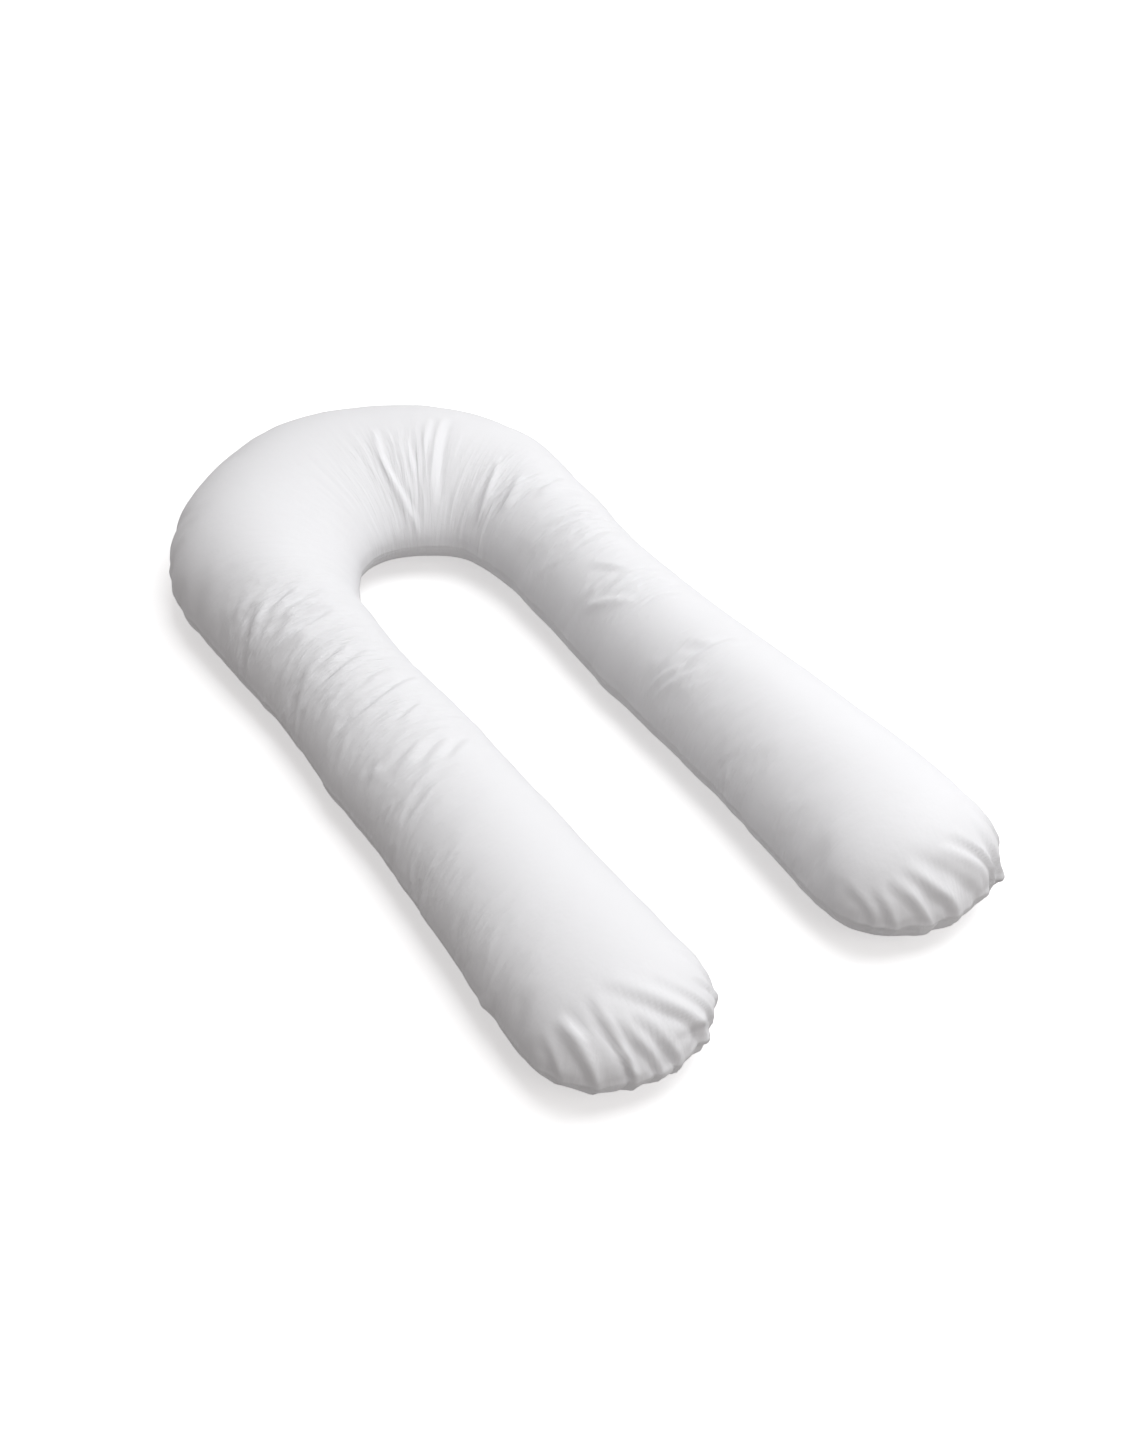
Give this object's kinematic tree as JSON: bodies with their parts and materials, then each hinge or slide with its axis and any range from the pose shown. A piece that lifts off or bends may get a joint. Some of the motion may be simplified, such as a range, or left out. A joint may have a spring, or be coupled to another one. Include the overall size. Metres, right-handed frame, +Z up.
{
  "type": "u-shaped body pillow",
  "caption": "U-shaped full-body pillow in plain white cotton, firmly stuffed, with a thick bend for the head and two long round-ended legs.",
  "frame": {"origin": "on the surface the pillow lies on, under the middle of its outline box", "axes": "+Y from the open leg ends towards the bend, +X from the left leg to the right leg, +Z up through the pillow's thickness"},
  "size_m": [0.726, 1.485, 0.1821],
  "materials": {
    "cotton": "plain-weave cotton, matt, slightly creased"
  },
  "bodies": {
    "root": {"pillow": "cotton"}
  },
  "joints": []
}
